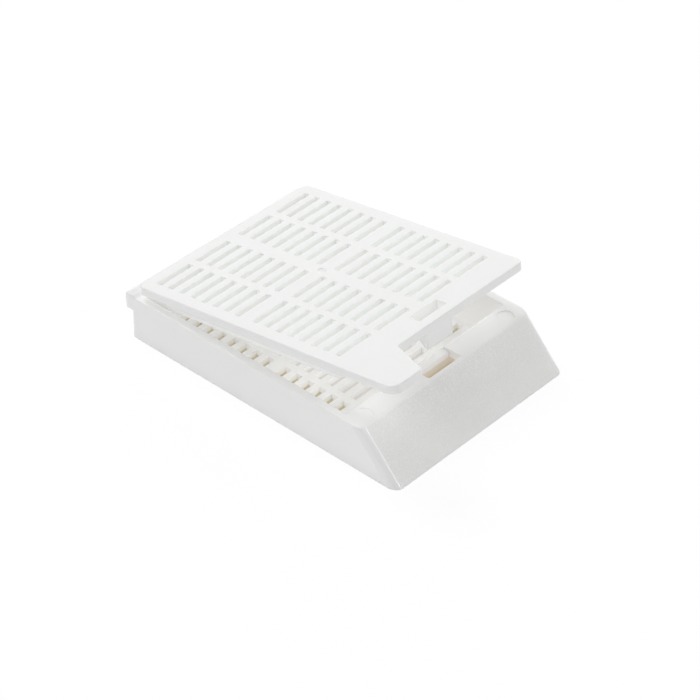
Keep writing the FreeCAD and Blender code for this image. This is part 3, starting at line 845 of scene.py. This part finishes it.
# ---- Table top, light and camera -----------------------------------------------------------------
# The cassette stands on a white table top in a white room, between five soft lamps.  The table is
# whitened where it is seen beyond the tray and keeps a faint shadow; under the tray it carries
# painted shade, warm like light that has come through the plastic, darkest and warmest below the outer rows
# of slots.
TABLE_HALF = 1.0
TABLE_ROUGHNESS = 0.9
TABLE_WHITE = (0.9, 0.9, 0.9, 1.0)
UNDER_TRAY_SHADE = (0.82, 0.795, 0.765, 1.0)
OUTER_ROWS_SHADE = (0.66, 0.59, 0.42, 1.0)
UNDER_TRAY_FRONT_MARGIN = 1.0
UNDER_TRAY_SIDE_MARGIN = 0.5
OUTER_ROWS_RANGE = (6.3, 6.9)
TABLE_WHITENING = 0.88
TABLE_GLOW = 1.03
WHITE = (1.0, 1.0, 1.0, 1.0)
table_corners = [(x * TABLE_HALF, y * TABLE_HALF, 0) for x, y in ((-1, -1), (1, -1), (1, 1), (-1, 1))]
table_mesh = bpy.data.meshes.new("table_top")
table_mesh.from_pydata(table_corners, [], [(0, 1, 2, 3)])
table_top = bpy.data.objects.new("table_top", table_mesh)
bpy.context.scene.collection.objects.link(table_top)
table_paint = bpy.data.materials.new("table_white")
table_paint.use_nodes = True
tree = table_paint.node_tree
paint = tree.nodes["Principled BSDF"]
paint.inputs["Roughness"].default_value = TABLE_ROUGHNESS
paint.inputs["Specular IOR Level"].default_value = 0.0
glow = tree.nodes.new("ShaderNodeEmission")
glow.inputs["Color"].default_value = WHITE
glow.inputs["Strength"].default_value = TABLE_GLOW
seen = Wire(tree, tree.nodes.new("ShaderNodeLightPath").outputs["Is Camera Ray"])
x, y = Wire(tree, tree.nodes.new("ShaderNodeTexCoord").outputs["Object"]).axes()[:2]
under_tray = ((x > REAR * MM) * (x < (TOE - UNDER_TRAY_FRONT_MARGIN) * MM)
              * (abs(y) < (HALF_WIDTH - UNDER_TRAY_SIDE_MARGIN) * MM))
outer_rows = abs(y).between(*(offset * MM for offset in OUTER_ROWS_RANGE))
# Painted shade under the tray, deepest below the outer rows of slots.
ground = under_tray.blend(TABLE_WHITE, UNDER_TRAY_SHADE)
ground = (under_tray * outer_rows).blend(ground, OUTER_ROWS_SHADE)
tree.links.new(ground.socket, paint.inputs["Base Color"])
whitening = TABLE_WHITENING * seen * (1 - under_tray)
whitened = seen.node("ShaderNodeMixShader", {0: whitening, 1: Wire(tree, paint.outputs[0]),
                                             2: Wire(tree, glow.outputs[0])})
tree.links.new(whitened.socket, tree.nodes["Material Output"].inputs["Surface"])
table_mesh.materials.append(table_paint)

room = bpy.data.worlds.new("white_room")
bpy.context.scene.world = room
room.use_nodes = True
tree = room.node_tree
seen = tree.nodes.new("ShaderNodeLightPath").outputs["Is Camera Ray"]
tree.nodes["Background"].inputs["Color"].default_value = WHITE
tree.links.new(seen, tree.nodes["Background"].inputs["Strength"])

# The plastic's many bounces of light fill the chamber, and the room adds a little even light.
EVEN_LIGHT = 0.12
EVEN_LIGHT_REACH = 0.45
BOUNCES = 8
room.light_settings.ao_factor = EVEN_LIGHT
room.light_settings.distance = EVEN_LIGHT_REACH * MM
bpy.context.scene.cycles.use_fast_gi = True
bpy.context.scene.cycles.fast_gi_method = "ADD"
bpy.context.scene.cycles.diffuse_bounces = BOUNCES

LAMP_DISTANCE = 0.5


def soft_lamp(name, around, above, size, watts):
    """A square lamp that faces the tray from these angles, round from the writing face and up."""
    light = bpy.data.lights.new(name, "AREA")
    light.energy = watts
    light.size = size
    holder = bpy.data.objects.new(name, light)
    bpy.context.scene.collection.objects.link(holder)
    level = math.cos(math.radians(above))
    way = Vector((math.cos(math.radians(around)) * level, math.sin(math.radians(around)) * level,
                  math.sin(math.radians(above))))
    holder.location = LAMP_DISTANCE * way
    holder.rotation_euler = (-way).to_track_quat("-Z", "Y").to_euler()


# The two smaller lamps, behind and in front, draw the thin bright lines along the polished edges, helped by
# the edges' painted highlight.
soft_lamp("rear_lamp", 180, 55, 0.2, 0.95)
soft_lamp("near_fill", -90, 33, 0.4, 0.92)
soft_lamp("front_fill", 8, 32, 0.12, 0.39)
soft_lamp("far_fill", 60, 30, 0.4, 0.81)
soft_lamp("low_back_lamp", 131, 17, 0.4, 0.87)

# The camera looks down on the cassette's near front corner through a long lens.
AZIMUTH, ELEVATION, ROLL = (math.radians(angle) for angle in (41.044, 37.929, 1.413))
AIM = Vector((0.002818, -0.00217, 0.003))
CAMERA_DISTANCE = 0.30055
FOCAL_LENGTH = 138.39
SENSOR_WIDTH = 36.0
NEAREST_SEEN = 0.001
aimed = (Matrix.Rotation(AZIMUTH, 4, "Z") @ Matrix.Rotation(math.pi / 2 - ELEVATION, 4, "X")
         @ Matrix.Rotation(ROLL, 4, "Z"))
camera = bpy.data.objects.new("camera", bpy.data.cameras.new("camera"))
bpy.context.scene.collection.objects.link(camera)
camera.matrix_world = Matrix.Translation(AIM + aimed.to_3x3() @ Vector((0, 0, CAMERA_DISTANCE))) @ aimed
camera.data.lens = FOCAL_LENGTH
camera.data.sensor_width = SENSOR_WIDTH
camera.data.clip_start = NEAREST_SEEN
bpy.context.scene.camera = camera
bpy.context.scene.view_settings.view_transform = "Standard"
